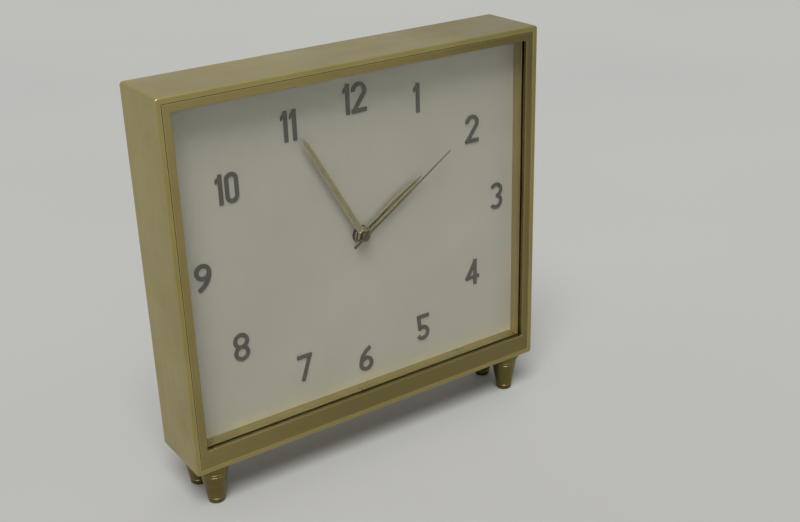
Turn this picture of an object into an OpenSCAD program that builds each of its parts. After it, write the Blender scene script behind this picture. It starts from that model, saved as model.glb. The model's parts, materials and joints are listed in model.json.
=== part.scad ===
// Desk clock: a shallow brass box case on four small tapered feet, with a glazed
// front, a rectangular dial with applied Arabic numerals, three hands and a
// battery quartz movement. X runs to the right as seen from the front, Y runs
// back into the clock, Z runs up, and the feet stand on Z = 0.

/* [Case] */
// Width of the case
case_w = 150; // [135:1:200]
// Height of the case without its feet
case_h = 134; // [130:1:180]
// Depth of the case
case_d = 27; // [27:0.5:45]
// Thickness of the brass band round the case
band_t = 2; // [1.5:0.1:3]
// Radius of the band's outer corners
corner_r = 1.2; // [0.5:0.1:3]
// Width of the front rim at the sides and the top
rim_w = 5; // [4:0.1:7]
// Height of the front rim along the bottom
rim_bottom_h = 8.8; // [5:0.1:10]
// Thickness of the front bezel
bezel_t = 1.8; // [1:0.1:2.5]
// Clearance round the pieces that drop into the band
drop_in_gap = 0.1; // [0.05:0.01:0.3]
// Thickness of the back cover
cover_t = 1.2; // [1:0.1:1.2]
// Side of the square corner posts that carry the back cover
post_w = 7; // [6:0.5:10]
// Gap between the movement and the edge of the window in the back cover
window_gap = 0.8; // [0.5:0.1:3]

/* [Feet] */
// Height of the feet
foot_h = 16; // [10:0.5:25]
// Diameter of a foot where it meets the case
foot_top_d = 12; // [8:0.5:12.5]
// Diameter of a foot where it stands
foot_bottom_d = 6; // [4:0.5:8]
// Distance from the side of the case to the middle of a foot
foot_inset = 9; // [7:0.5:20]
// Distance from the front or back of the case to the edge of a foot
foot_setback = 0.3; // [0.1:0.1:0.6]
// Radius of the threaded spigot that holds a foot
spigot_r = 1.5; // [1:0.1:2]

/* [Glass and dial] */
// Thickness of the glass
glass_t = 1.5; // [1:0.1:2]
// Distance from the front of the case back to the dial
dial_recess = 8; // [7.4:0.1:8]
// Thickness of the dial plate
dial_t = 0.8; // [0.5:0.1:0.8]
// Height of the numerals
numeral_h = 10.7; // [7:0.1:12]
// Width of the numerals' strokes
stroke_w = 1.5; // [1:0.1:2]
// Gap between the two digits of 10, 11 and 12
digit_gap = 0.8; // [0.6:0.1:2]
// Thickness of the numerals
numeral_t = 0.4; // [0.2:0.1:0.8]
// Distance from the side of the dial opening to the middle of the numerals
ring_side_gap = 8; // [8:0.5:15]
// Distance from the top of the dial opening to the middle of the numerals
ring_top_gap = 10; // [8:0.5:14]

/* [Hands] */
// Length of the hour hand
hour_len = 31; // [24:0.5:38]
// Widest part of the hour hand
hour_w = 3.6; // [2:0.1:4.5]
// Length of the minute hand
minute_len = 47; // [40:0.5:52]
// Width of the minute hand
minute_w = 2.5; // [1.5:0.1:3]
// Length of the second hand
second_len = 45; // [38:0.5:52]
// Width of the second hand
second_w = 0.9; // [0.6:0.1:1.4]
// Thickness of the hands
hand_t = 0.4; // [0.3:0.05:0.5]
// Hour that the clock shows
show_hour = 1; // [0:1:11]
// Minute that the clock shows
show_minute = 55; // [0:1:59]
// Second that the clock shows
show_second = 9.5; // [0:0.5:59.5]

/* [Movement] */
// Width and height of the movement
move_w = 56; // [56:0.5:60]
// Wall thickness of the movement's two shells
shell_t = 0.9; // [0.7:0.1:0.9]
// Distance between the levels of two neighbouring wheels
level_step = 1.9; // [1.7:0.05:1.9]
// Thickness of a wheel
wheel_t = 1; // [0.6:0.1:1]
// Distance from the middle of the movement to the minute wheel
motion_reach = 8.4; // [8.2:0.1:8.6]
// Distance from the middle of the movement to the third wheel
third_reach = 10.8; // [10.6:0.1:10.9]
// Distance from the middle of the movement to the intermediate wheel
inter_reach = 11.2; // [11.1:0.1:11.4]
// Distance from the intermediate wheel to the rotor
rotor_reach = 10.1; // [9.8:0.1:10.3]
// Radius of the centre arbor's tube
tube_r = 1.1; // [1:0.05:1.2]
// Radius of the second wheel's arbor
core_r = 0.45; // [0.4:0.01:0.5]
// Radius of the thin end pivots
pivot_r = 0.35; // [0.25:0.01:0.4]
// Radial clearance of every turning fit
run_gap = 0.05; // [0.02:0.01:0.08]
// Radius of the setting knob
knob_r = 4.6; // [3.5:0.1:5]
// Height of the setting knob
knob_h = 3.4; // [2:0.1:3.5]

/* [Battery] */
// Diameter of the battery
cell_d = 14.5; // [14:0.1:14.5]
// Length of the battery with its raised end
cell_len = 50.5; // [49.5:0.1:50.5]

/* [Hidden] */
$fn = 64;

// Places across the case
in_w = case_w - 2 * band_t;
in_h = case_h - 2 * band_t;
case_z = foot_h + case_h / 2;
open_w = case_w - 2 * rim_w;
open_h = case_h - rim_w - rim_bottom_h;
open_z = foot_h + rim_bottom_h + open_h / 2;
hub_z = open_z;
ring_x = open_w / 2 - ring_side_gap;
ring_z = open_z + open_h / 2 - hub_z - ring_top_gap;

// Places through the depth of the case, from front to back
front_y = -case_d / 2;
glass_y = front_y + bezel_t;
surround_y = glass_y + glass_t;
dial_y = front_y + dial_recess;
shell_y = dial_y + dial_t;
inner_y = shell_y + shell_t;
cover_y = case_d / 2 - cover_t;

// Heights of the hands in front of the dial
hour_rise = 1.4;
hand_step = 1.0;
hour_y = dial_y - hour_rise - hand_t;
minute_y = hour_y - hand_step;
second_y = minute_y - hand_step;
cap_t = 0.3;
cap_seat = 0.1;

// Pivots, seats and clearances of the movement
first_gap = 0.4;
pinion_proud = 0.15;
end_play = 0.1;
press_gap = 0.01;
pipe_wall = 0.84;
bush_wall = 1.34;
bush_proud = 0.1;
boss_r = 1.3;
bore_len = 1.2;
pivot_len = 1;
shaft_r = 0.5;
cell_gap = 0.2;
cell_front_gap = 0.1;
cell_proud = 0.2;
bay_h = cell_d + 2 * cell_gap;
cell_y = inner_y + cell_front_gap + cell_d / 2;
back_y = cell_y + cell_d / 2 - cell_proud;
cell_z = hub_z - move_w / 2 + shell_t + cell_gap + cell_d / 2;
bay_top_z = hub_z - move_w / 2 + shell_t + bay_h;
inner_half = move_w / 2 - shell_t;
pipe_r = tube_r + run_gap + pipe_wall;
bush_r = pipe_r + run_gap + bush_wall;

// Tooth counts
n_cannon = 12;
n_minute = 36;
n_minute_pinion = 10;
n_hour = 40;
n_knob = 12;
n_centre = 64;
n_third_pinion = 8;
n_third = 60;
n_second_pinion = 8;
n_second = 60;
n_inter_pinion = 10;
n_inter = 60;
n_rotor = 12;

// Windows in the wheels, as distance from the axis and radius
hour_windows = [4.2, 1.3];
minute_windows = [3.8, 1.1];
centre_windows = [5.4, 2.2];
third_windows = [5.2, 2];
inter_windows = [4.8, 1.9];

// Directions from one wheel to the next, in degrees from the right
motion_dir = -15;
knob_dir = -10;
third_dir = 170;
inter_dir = 40;
rotor_dir = 60;

// Tooth sizes from the distances between the wheels
motion_mod = 2 * motion_reach / (n_cannon + n_minute);
hour_mod = 2 * motion_reach / (n_minute_pinion + n_hour);
centre_mod = 2 * third_reach / (n_centre + n_third_pinion);
third_mod = 2 * third_reach / (n_third + n_second_pinion);
second_mod = 2 * inter_reach / (n_second + n_inter_pinion);
inter_mod = 2 * rotor_reach / (n_inter + n_rotor);
knob_reach = motion_mod * (n_knob + n_minute) / 2;

// Wheel axes, as distances right of and above the hub
function polar(r, a) = [r * cos(a), r * sin(a)];
hub_at = [0, 0];
minute_at = polar(motion_reach, motion_dir);
knob_at = minute_at + polar(knob_reach, knob_dir);
third_at = polar(third_reach, third_dir);
inter_at = polar(inter_reach, inter_dir);
rotor_at = inter_at + polar(rotor_reach, rotor_dir);

// Front face of the wheels at each level of the train
function level(k) = inner_y + first_gap + k * level_step;

// Turn that brings a second gear into mesh with a first one, which has n1 teeth and
// is turned by a1, where the second one has n2 teeth and lies in direction d
function mesh_turn(d, n1, a1, n2) = d + 180 + (0.5 - (a1 - d) * n1 / 360) * 360 / n2;
minute_turn = mesh_turn(motion_dir, n_cannon, 0, n_minute);
hour_turn = mesh_turn(motion_dir + 180, n_minute_pinion, 0, n_hour);
knob_turn = mesh_turn(knob_dir, n_minute, minute_turn, n_knob);
third_turn = mesh_turn(third_dir, n_second_pinion, 0, n_third);
centre_turn = mesh_turn(third_dir + 180, n_third_pinion, 0, n_centre);
inter_pinion_turn = mesh_turn(inter_dir, n_second, 0, n_inter_pinion);
rotor_turn = mesh_turn(rotor_dir, n_inter, 0, n_rotor);

// Electric parts of the movement
stator_t = 1;
core_t = 1;
stator_gap = 0.3;
stator_y = level(3) + stator_gap;
coil_y = stator_y - core_t / 2;
coil_up = 21.6;
coil_x0 = -12.5;
coil_x1 = 8.5;
lug_x = 15.5;
lug_w = 4.4;
core_w = 2.4;
barrel_r = 2;
flange_r = 3.6;
flange_t = 0.8;
winding_r = 3.3;
magnet_r = 2.8;
magnet_t = 2.4;
magnet_bore = 0.9;
pole_gap = 0.3;
pole_w = 1.9;
arm_w = 2.4;
stator_screw_r = 0.8;
stator_head_r = 1.7;
stator_screw_len = 3;
stator_head_t = 0.8;
board_t = 0.8;
board_gap = 0.4;
board_y = level(5) + board_gap;
board_side_gap = 0.5;
board_low_gap = 0.7;
board_x0 = -inner_half + board_side_gap;
board_x1 = -12.6;
board_z0 = bay_top_z + shell_t + board_low_gap - hub_z;
board_z1 = 12;
leaf_t = 0.4;
touch_gap = 0.3;
tab_w = 1.5;
tab_y0 = board_y - tab_w;
tab_slot = 0.35;
tab_gap = 0.2;
finger_lap = 2;
finger_top = board_z0 + finger_lap;
finger_w = 1.2;
finger_in = 0.6;
leaf_w = 10;
nub_r = 2.75;
bump_r = 2.35;
nub_len = 1.5;

// Fasteners. Every cut runs past the face that it opens by the length called past.
screw_r = 1.1;
screw_head_r = 2.3;
screw_len = 7;
thread_gap = 0.05;
slot_w = 0.5;
slot_deep = 0.4;
past = 1;
stud_r = 1.4;
stud_proud = 0.6;
ear_out = 6;
ear_h = 9;
ear_t = 1.5;
stud_x = move_w / 2 + ear_out / 2;
nut_r = 2.9;
nut_t = 1.8;
well_gap = 1;
well_deep = 2;

// Colours of the pieces
brass = [0.62, 0.55, 0.33];
gilt = [0.5, 0.44, 0.24];
silvered = [0.72, 0.71, 0.66];
ink = [0.12, 0.11, 0.1];
clear_glass = [0.8, 0.87, 0.86, 0.25];
black_plastic = [0.13, 0.13, 0.14];
white_plastic = [0.9, 0.9, 0.87];
steel = [0.62, 0.63, 0.65];
iron = [0.45, 0.46, 0.48];
copper = [0.72, 0.38, 0.2];
board_green = [0.1, 0.35, 0.2];
jacket = [0.42, 0.44, 0.48];

// Flat outline in X and Z, made t thick from y0 backwards
module plate(y0, t) {
  translate([0, y0 + t, 0])
    rotate([90, 0, 0])
      linear_extrude(height = t) children();
}

// Round rod along Y from y0 to y1, at p = [right, up] from the hub
module rod(p, y0, y1, r) {
  translate([p[0], y1, hub_z + p[1]])
    rotate([90, 0, 0]) cylinder(h = y1 - y0, r = r);
}

// Box given by its two corners
module block(a, b) {
  translate(a) cube(b - a);
}

module rounded_rect(w, h, r) {
  square([w - 2 * r, h], center = true);
  square([w, h - 2 * r], center = true);
  for (sx = [-1, 1]) {
    for (sz = [-1, 1]) translate([sx * (w / 2 - r), sz * (h / 2 - r)]) circle(r);
  }
}

// Outline of the dial opening
module opening() {
  translate([0, open_z]) square([open_w, open_h], center = true);
}

// Rectangle that drops into the band
module insert_rect() {
  translate([0, case_z]) square([in_w - 2 * drop_in_gap, in_h - 2 * drop_in_gap], center = true);
}

// Proportions of the gear teeth. The depths are in modules, tooth_share is how much of
// its space a tooth fills, and the root and the tip are shares of that width.
root_depth = 1.15;
tip_height = 0.75;
tooth_share = 0.78;
root_share = 1.35;
tip_share = 0.42;
few_teeth = 20;

// Gear outline. A tooth stands on the right when turn is 0. Pinions with few teeth have
// radial flanks, and wheels have sloping ones.
function tooth(n, m, a) =
  let (
    pitch_r = n * m / 2,
    root_r = pitch_r - root_depth * m,
    tip_r = pitch_r + tip_height * m,
    half = 90 / n * tooth_share,
    root_half = n < few_teeth ? half : half * root_share,
    tip_half = half * tip_share
  )
  [
    polar(root_r, a - root_half),
    polar(pitch_r, a - half),
    polar(tip_r, a - tip_half),
    polar(tip_r, a + tip_half),
    polar(pitch_r, a + half),
    polar(root_r, a + root_half)
  ];

module gear_outline(n, m, turn) {
  polygon([for (i = [0 : n - 1]) each tooth(n, m, turn + 360 * i / n)]);
}

// Gear whose disc starts at y0 and is t thick, centred at p
module gear(p, y0, t, n, m, turn) {
  plate(y0, t) translate([p[0], hub_z + p[1]]) gear_outline(n, m, turn);
}

// Four round windows that lighten a wheel, where windows gives their distance from the
// axis and their radius
module lightening(p, y0, windows) {
  for (i = [0 : 3]) {
    rod(p + polar(windows[0], 45 + 90 * i), y0 - past, y0 + wheel_t + past, windows[1]);
  }
}

// Shaft with a thin pivot at each end
module arbor(p, y0, y1) {
  rod(p, y0, y1, pivot_r);
  rod(p, y0 + pivot_len, y1 - pivot_len, shaft_r);
}

// Case

module case_band() {
  color(brass)
    difference() {
      plate(front_y, case_d)
        difference() {
          translate([0, case_z]) rounded_rect(case_w, case_h, corner_r);
          translate([0, case_z]) square([in_w, in_h], center = true);
        }
      for (sx = [-1, 1]) {
        for (sy = [-1, 1]) {
          translate([sx * foot_x, sy * foot_y, foot_h - past])
            cylinder(h = band_t + 2 * past, r = spigot_r + thread_gap);
        }
      }
    }
}

module front_bezel() {
  color(brass)
    plate(front_y, bezel_t)
      difference() {
        insert_rect();
        opening();
      }
}

module glass() {
  color(clear_glass) plate(glass_y, glass_t) insert_rect();
}

module dial_surround() {
  color(brass)
    plate(surround_y, dial_y - surround_y)
      difference() {
        insert_rect();
        opening();
      }
}

module dial_plate() {
  color(silvered)
    plate(dial_y, dial_t)
      difference() {
        insert_rect();
        translate([0, hub_z]) circle(bush_r + run_gap);
      }
}

module corner_posts() {
  color(brass)
    for (sx = [-1, 1]) {
      for (sz = [-1, 1]) {
        difference() {
          translate([sx * post_x, dial_y + dial_t, case_z + sz * post_z])
            translate([-post_w / 2, 0, -post_w / 2])
              cube([post_w, cover_y - dial_y - dial_t, post_w]);
          rod([sx * post_x, case_z - hub_z + sz * post_z], cover_y - screw_len - past, cover_y + past,
            screw_r + thread_gap);
        }
      }
    }
}
post_x = in_w / 2 - post_w / 2;
post_z = in_h / 2 - post_w / 2;

module back_cover() {
  color(brass)
    difference() {
      plate(cover_y, cover_t)
        difference() {
          insert_rect();
          translate([0, hub_z]) square(move_w + 2 * window_gap, center = true);
        }
      for (sx = [-1, 1]) {
        for (sz = [-1, 1]) {
          translate([sx * post_x, cover_y + cover_t, case_z + sz * post_z])
            rotate([90, 0, 0])
              cylinder(h = cover_t, r1 = screw_head_r + thread_gap, r2 = screw_r + thread_gap);
        }
      }
    }
}

module cover_screws() {
  color(steel)
    for (sx = [-1, 1]) {
      for (sz = [-1, 1]) {
        difference() {
          union() {
            rod([sx * post_x, case_z - hub_z + sz * post_z], cover_y - screw_len, cover_y, screw_r);
            translate([sx * post_x, cover_y + cover_t, case_z + sz * post_z])
              rotate([90, 0, 0]) cylinder(h = cover_t, r1 = screw_head_r, r2 = screw_r);
          }
          translate([sx * post_x, cover_y + cover_t, case_z + sz * post_z])
            cube([2 * screw_head_r + past, 2 * slot_deep, slot_w], center = true);
        }
      }
    }
}

// Feet

foot_x = case_w / 2 - foot_inset;
foot_y = case_d / 2 - foot_setback - foot_top_d / 2;
foot_collar = 1.2;
foot_edge = 0.5;

module foot(sx, sy) {
  top_r = foot_top_d / 2;
  low_r = foot_bottom_d / 2;
  color(brass)
    translate([sx * foot_x, sy * foot_y, 0])
      rotate_extrude()
        polygon([
          [0, 0],
          [low_r - foot_edge, 0],
          [low_r, foot_edge],
          [top_r - foot_edge, foot_h - foot_collar - foot_edge],
          [top_r, foot_h - foot_collar],
          [top_r, foot_h],
          [spigot_r, foot_h],
          [spigot_r, foot_h + band_t - thread_gap],
          [0, foot_h + band_t - thread_gap]
        ]);
}

module foot_front_left() foot(-1, -1);
module foot_front_right() foot(1, -1);
module foot_rear_left() foot(-1, 1);
module foot_rear_right() foot(1, 1);

// Numerals

// Band of stroke width along a circle of radius r, from angle a0 to a1
module arc_band(r, a0, a1) {
  reach = 2 * r + 2 * stroke_w;
  steps = 6;
  difference() {
    circle(r + stroke_w / 2);
    circle(r - stroke_w / 2);
    polygon(concat([[0, 0]], [for (i = [0 : steps]) polar(reach, a1 + (360 + a0 - a1) * i / steps)]));
  }
}

// Straight stroke from p to q with square ends
module bar(p, q) {
  d = q - p;
  translate((p + q) / 2)
    rotate(atan2(d[1], d[0])) square([norm(d) + stroke_w, stroke_w], center = true);
}

// The digits stand on their middle, and their strokes' centre lines reach this far
// above and below it
half_h = numeral_h / 2;
stroke_reach = half_h - stroke_w / 2;
bowl_r = stroke_reach / 2;
bowl_reach = bowl_r + stroke_w / 2;
oval_r = 0.235 * numeral_h;
// The flag of a 1 reaches this far left of the middle of its stem
flag_reach = 1.2 * stroke_w;

module digit_0() {
  difference() {
    union() {
      for (s = [-1, 1]) translate([0, s * (half_h - oval_r)]) circle(oval_r);
      square([2 * oval_r, 2 * (half_h - oval_r)], center = true);
    }
    for (s = [-1, 1]) translate([0, s * (half_h - oval_r)]) circle(oval_r - stroke_w);
    square([2 * (oval_r - stroke_w), 2 * (half_h - oval_r)], center = true);
  }
}

module digit_1() {
  flag_top = half_h - 1.2 * stroke_w;
  flag_low = half_h - 2.1 * stroke_w;
  flag_root = half_h - 1.3 * stroke_w;
  square([stroke_w, numeral_h], center = true);
  polygon([[0, half_h], [-flag_reach, flag_top], [-flag_reach, flag_low], [0, flag_root]]);
}

module digit_2() {
  neck_dir = -38;
  translate([0, bowl_r]) arc_band(bowl_r, neck_dir, 180);
  bar(polar(bowl_r, neck_dir) + [0, bowl_r], [-bowl_r, -stroke_reach]);
  bar([-bowl_r, -stroke_reach], [bowl_r, -stroke_reach]);
}

module digit_3() {
  end_dir = 150;
  translate([0, bowl_r]) arc_band(bowl_r, -90, end_dir);
  translate([0, -bowl_r]) arc_band(bowl_r, -end_dir, 90);
}

module digit_4() {
  stem_x = 0.55 * bowl_r;
  arm_x = 1.1 * bowl_r;
  arm_z = -0.45 * stroke_reach;
  bar([stem_x, -stroke_reach], [stem_x, stroke_reach]);
  bar([-arm_x, arm_z], [arm_x, arm_z]);
  bar([-arm_x, arm_z], [stem_x, stroke_reach]);
}

module digit_5() {
  end_dir = -150;
  start_dir = 125;
  top_left = [-0.8 * bowl_r, stroke_reach];
  top_right = [0.95 * bowl_r, stroke_reach];
  translate([0, -bowl_r]) arc_band(bowl_r, end_dir, start_dir);
  bar(top_left, top_right);
  bar(top_left, polar(bowl_r, start_dir) + [0, -bowl_r]);
}

module digit_6() {
  sweep_r = 3 * bowl_r;
  sweep = [112, 182];
  translate([0, -bowl_r]) difference() {
    circle(bowl_r + stroke_w / 2);
    circle(bowl_r - stroke_w / 2);
  }
  translate([sweep_r - bowl_r, -bowl_r]) arc_band(sweep_r, sweep[0], sweep[1]);
}

module digit_7() {
  foot_left = 0.35 * bowl_r;
  bar([-bowl_r, stroke_reach], [bowl_r, stroke_reach]);
  bar([bowl_r, stroke_reach], [-foot_left, -stroke_reach]);
}

module digit_8() {
  for (s = [-1, 1]) {
    translate([0, s * bowl_r])
      difference() {
        circle(bowl_r + stroke_w / 2);
        circle(bowl_r - stroke_w / 2);
      }
  }
}

module digit_9() {
  rotate(180) digit_6();
}

module digit(d) {
  intersection() {
    union() {
      if (d == 0) digit_0();
      if (d == 1) digit_1();
      if (d == 2) digit_2();
      if (d == 3) digit_3();
      if (d == 4) digit_4();
      if (d == 5) digit_5();
      if (d == 6) digit_6();
      if (d == 7) digit_7();
      if (d == 8) digit_8();
      if (d == 9) digit_9();
    }
    square(numeral_h, center = true);
  }
}

// Distance from the middle of a 0, 1 or 2 to its left and to its right side
function left_reach(d) = [oval_r, flag_reach, bowl_reach][d];
function right_reach(d) = [oval_r, stroke_w / 2, bowl_reach][d];

// A 1 and the digit after it, side by side round the middle
module pair(second) {
  step = right_reach(1) + digit_gap + left_reach(second);
  first_x = (left_reach(1) - right_reach(second) - step) / 2;
  translate([first_x, 0]) digit(1);
  translate([first_x + step, 0]) digit(second);
}

// Distance from the hub to the ellipse of numerals, at an angle from the top
function ring_reach(a) = 1 / sqrt(pow(sin(a) / ring_x, 2) + pow(cos(a) / ring_z, 2));

module numeral(n) {
  a = 30 * n;
  at = ring_reach(a) * [sin(a), cos(a)] + [0, hub_z];
  color(ink)
    plate(dial_y - numeral_t, numeral_t)
      translate(at) {
        if (n < 10) digit(n);
        if (n >= 10) pair(n - 10);
      }
}

module numeral_1() numeral(1);
module numeral_2() numeral(2);
module numeral_3() numeral(3);
module numeral_4() numeral(4);
module numeral_5() numeral(5);
module numeral_6() numeral(6);
module numeral_7() numeral(7);
module numeral_8() numeral(8);
module numeral_9() numeral(9);
module numeral_10() numeral(10);
module numeral_11() numeral(11);
module numeral_12() numeral(12);

// Hands

second_angle = 6 * show_second;
minute_angle = 6 * (show_minute + show_second / 60);
hour_angle = 30 * (show_hour + show_minute / 60);
hour_eye_w = 1.4;
minute_eye_w = 1.8;
second_eye_w = 1.2;
hour_eye_r = pipe_r + hour_eye_w;
minute_eye_r = tube_r + minute_eye_w;
second_eye_r = core_r + second_eye_w;

// Outline drawn pointing up, turned clockwise by a about the hub
module pointed(a) {
  translate([0, hub_z]) rotate(-a) children();
}

module hour_hand() {
  half = hour_w / 2;
  root = 0.75 * half;
  neck = 0.7 * half;
  wide_at = 0.6 * hour_len;
  neck_at = 0.8 * hour_len;
  color(gilt)
    plate(hour_y, hand_t)
      pointed(hour_angle)
        difference() {
          union() {
            circle(hour_eye_r);
            polygon([
              [root, 0], [half, wide_at], [neck, neck_at], [0, hour_len],
              [-neck, neck_at], [-half, wide_at], [-root, 0]
            ]);
          }
          circle(pipe_r + press_gap);
        }
}

module minute_hand() {
  half = minute_w / 2;
  neck = 0.8 * half;
  neck_at = 0.94 * minute_len;
  color(gilt)
    plate(minute_y, hand_t)
      pointed(minute_angle)
        difference() {
          union() {
            circle(minute_eye_r);
            polygon([
              [half, 0], [neck, neck_at], [0, minute_len], [-neck, neck_at], [-half, 0]
            ]);
          }
          circle(tube_r + press_gap);
        }
}

module second_hand() {
  half = second_w / 2;
  tip = 0.6 * half;
  tail = 0.13 * second_len;
  color(gilt) {
    plate(second_y, hand_t)
      pointed(second_angle)
        difference() {
          union() {
            circle(second_eye_r);
            polygon([[half, -tail], [tip, second_len], [-tip, second_len], [-half, -tail]]);
          }
          circle(core_r + press_gap);
        }
    rod(hub_at, second_y - cap_t, second_y + cap_seat, second_eye_r - cap_seat);
  }
}

// Movement shells

// Boss with a blind bearing hole, which stands on the front shell and ends at y1
module front_boss(p, y1) {
  rod(p, inner_y, y1, boss_r);
}

module front_bore(p, y1) {
  rod(p, y1 - bore_len, y1 + past, pivot_r + run_gap);
}

// The same on the back shell, where the boss starts at y0
module back_boss(p, y0) {
  rod(p, y0, back_y + shell_t, boss_r);
}

module back_bore(p, y0) {
  rod(p, y0 - past, y0 + bore_len, pivot_r + run_gap);
}

third_front = level(2) - pinion_proud - end_play;
inter_front = third_front;
rotor_front = stator_y + stator_t / 2 - magnet_t / 2 - 4 * end_play;
third_rear = level(4) + wheel_t + 6 * end_play;
second_rear = level(5) + wheel_t + 4 * end_play;
inter_rear = second_rear;
rotor_rear = second_rear + end_play;
minute_post_r = 0.9;
minute_post_y = level(2) - 5 * end_play;
arbor_proud = 0.4;
collar_wall = 0.6;
knob_shaft_r = 1.2;
knob_boss_len = 1.4;
knob_pivot_y = inner_y + knob_boss_len;

module movement_front() {
  color(black_plastic)
    difference() {
      union() {
        plate(shell_y, shell_t) translate([0, hub_z]) square(move_w, center = true);
        plate(shell_y, ear_t)
          for (s = [-1, 1]) {
            translate([s * stud_x, hub_z]) square([ear_out, ear_h], center = true);
          }
        rod(hub_at, dial_y - bush_proud, inner_y, bush_r);
        front_boss(third_at, third_front);
        front_boss(inter_at, inter_front);
        front_boss(rotor_at, rotor_front);
        front_boss(knob_at, knob_pivot_y);
        rod(minute_at, inner_y, minute_post_y, minute_post_r);
        for (s = [-1, 1]) rod([s * lug_x, coil_up], inner_y, stator_y - core_t, lug_w / 2);
      }
      rod(hub_at, dial_y - past, inner_y + past, pipe_r + run_gap);
      for (s = [-1, 1]) {
        rod([s * stud_x, 0], shell_y - past, shell_y + ear_t + past, stud_r + thread_gap);
      }
      front_bore(third_at, third_front);
      front_bore(inter_at, inter_front);
      front_bore(rotor_at, rotor_front);
      front_bore(knob_at, knob_pivot_y);
      for (s = [-1, 1]) {
        rod([s * lug_x, coil_up], stator_y - core_t - stator_screw_len - tab_gap, stator_y,
          stator_screw_r + thread_gap);
      }
    }
}

well_y = back_y + shell_t - well_deep;
well_r = knob_r + well_gap;

module movement_back() {
  color(black_plastic)
    difference() {
      union() {
        difference() {
          plate(inner_y, back_y + shell_t - inner_y) translate([0, hub_z]) square(move_w, center = true);
          plate(inner_y - past, back_y + past - inner_y)
            translate([0, hub_z]) square(2 * inner_half, center = true);
          block([-inner_half, inner_y, hub_z - inner_half], [inner_half, back_y + shell_t + past, bay_top_z]);
        }
        block([-inner_half, inner_y, bay_top_z], [inner_half, back_y + shell_t, bay_top_z + shell_t]);
        back_boss(third_at, third_rear);
        back_boss(hub_at, second_rear);
        back_boss(inter_at, inter_rear);
        back_boss(rotor_at, rotor_rear);
        rod(knob_at, well_y - shell_t, back_y + shell_t, well_r + shell_t);
        for (p = board_posts) rod(p, board_y + board_t, back_y + shell_t, boss_r);
      }
      back_bore(third_at, third_rear);
      back_bore(hub_at, second_rear);
      back_bore(inter_at, inter_rear);
      back_bore(rotor_at, rotor_rear);
      rod(knob_at, well_y, back_y + shell_t + past, well_r);
      rod(knob_at, well_y - shell_t - past, well_y + past, knob_shaft_r + run_gap);
      for (s = [-1, 1]) {
        block(
          [s * (inner_half - tab_slot) - tab_slot, tab_y0 - tab_gap, bay_top_z - past],
          [s * (inner_half - tab_slot) + tab_slot, board_y + tab_gap, bay_top_z + shell_t + past]
        );
      }
    }
}
post_inset = 3;
high_post_drop = 2.5;
low_post_rise = 4.5;
board_posts = [
  [board_x0 + post_inset, board_z1 - high_post_drop],
  [board_x1 - post_inset, board_z0 + low_post_rise]
];

module dial_studs() {
  color(brass)
    for (s = [-1, 1]) rod([s * stud_x, 0], shell_y, shell_y + ear_t + nut_t + stud_proud, stud_r);
}

module stud_nuts() {
  color(brass)
    for (s = [-1, 1]) {
      plate(shell_y + ear_t, nut_t)
        translate([s * stud_x, hub_z])
          difference() {
            circle(nut_r, $fn = 6);
            circle(stud_r + thread_gap);
          }
    }
}

// Wheels that turn the hands

module centre_arbor() {
  y0 = level(1) - pinion_proud;
  color(steel)
    difference() {
      union() {
        rod(hub_at, minute_y, level(2) + wheel_t + arbor_proud, tube_r);
        gear(hub_at, y0, wheel_t + 2 * pinion_proud, n_cannon, motion_mod, 0);
        rod(hub_at, y0, level(2) - end_play, tube_r + collar_wall);
      }
      rod(hub_at, minute_y - past, level(3), core_r + run_gap);
    }
}

module hour_wheel() {
  color(white_plastic)
    difference() {
      union() {
        rod(hub_at, hour_y, level(0) + wheel_t, pipe_r);
        gear(hub_at, level(0), wheel_t, n_hour, hour_mod, hour_turn);
      }
      rod(hub_at, hour_y - past, level(1), tube_r + run_gap);
      lightening(hub_at, level(0), hour_windows);
    }
}

module minute_wheel() {
  color(white_plastic)
    difference() {
      union() {
        gear(minute_at, level(0) - pinion_proud, level_step + 2 * pinion_proud, n_minute_pinion,
          hour_mod, 0);
        gear(minute_at, level(1), wheel_t, n_minute, motion_mod, minute_turn);
      }
      rod(minute_at, level(0) - past, level(2), minute_post_r + run_gap);
      lightening(minute_at, level(1), minute_windows);
    }
}

module setting_knob() {
  y0 = level(1) - pinion_proud;
  knob_y = well_y + 2 * end_play;
  ribs = 24;
  rib_r = 0.35;
  rib_out = 0.1;
  rib_start = 0.6;
  knob_slot_w = 1;
  knob_slot_len = 1.4 * knob_r;
  color(white_plastic)
    difference() {
      union() {
        gear(knob_at, y0, wheel_t + 2 * pinion_proud, n_knob, motion_mod, knob_turn);
        rod(knob_at, knob_pivot_y - pivot_len, y0, pivot_r);
        rod(knob_at, y0, knob_y, knob_shaft_r);
        rod(knob_at, knob_y, knob_y + knob_h, knob_r);
      }
      for (i = [0 : ribs - 1]) {
        rod(knob_at + polar(knob_r + rib_out, 360 * i / ribs), knob_y + rib_start, knob_y + knob_h + past,
          rib_r);
      }
      translate([knob_at[0], knob_y + knob_h, hub_z + knob_at[1]])
        cube([knob_slot_len, 2 * rib_start, knob_slot_w], center = true);
    }
}

// Wheels of the going train

module centre_wheel() {
  color(white_plastic)
    difference() {
      gear(hub_at, level(2), wheel_t, n_centre, centre_mod, centre_turn);
      rod(hub_at, level(2) - past, level(3), tube_r + run_gap);
      lightening(hub_at, level(2), centre_windows);
    }
}

module third_wheel() {
  color(white_plastic)
    difference() {
      union() {
        gear(third_at, level(3), wheel_t, n_third, third_mod, third_turn);
        gear(third_at, level(2) - pinion_proud, level_step + pinion_proud, n_third_pinion, centre_mod, 0);
        arbor(third_at, third_front - pivot_len + end_play, third_rear + pivot_len - end_play);
      }
      lightening(third_at, level(3), third_windows);
    }
}

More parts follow.
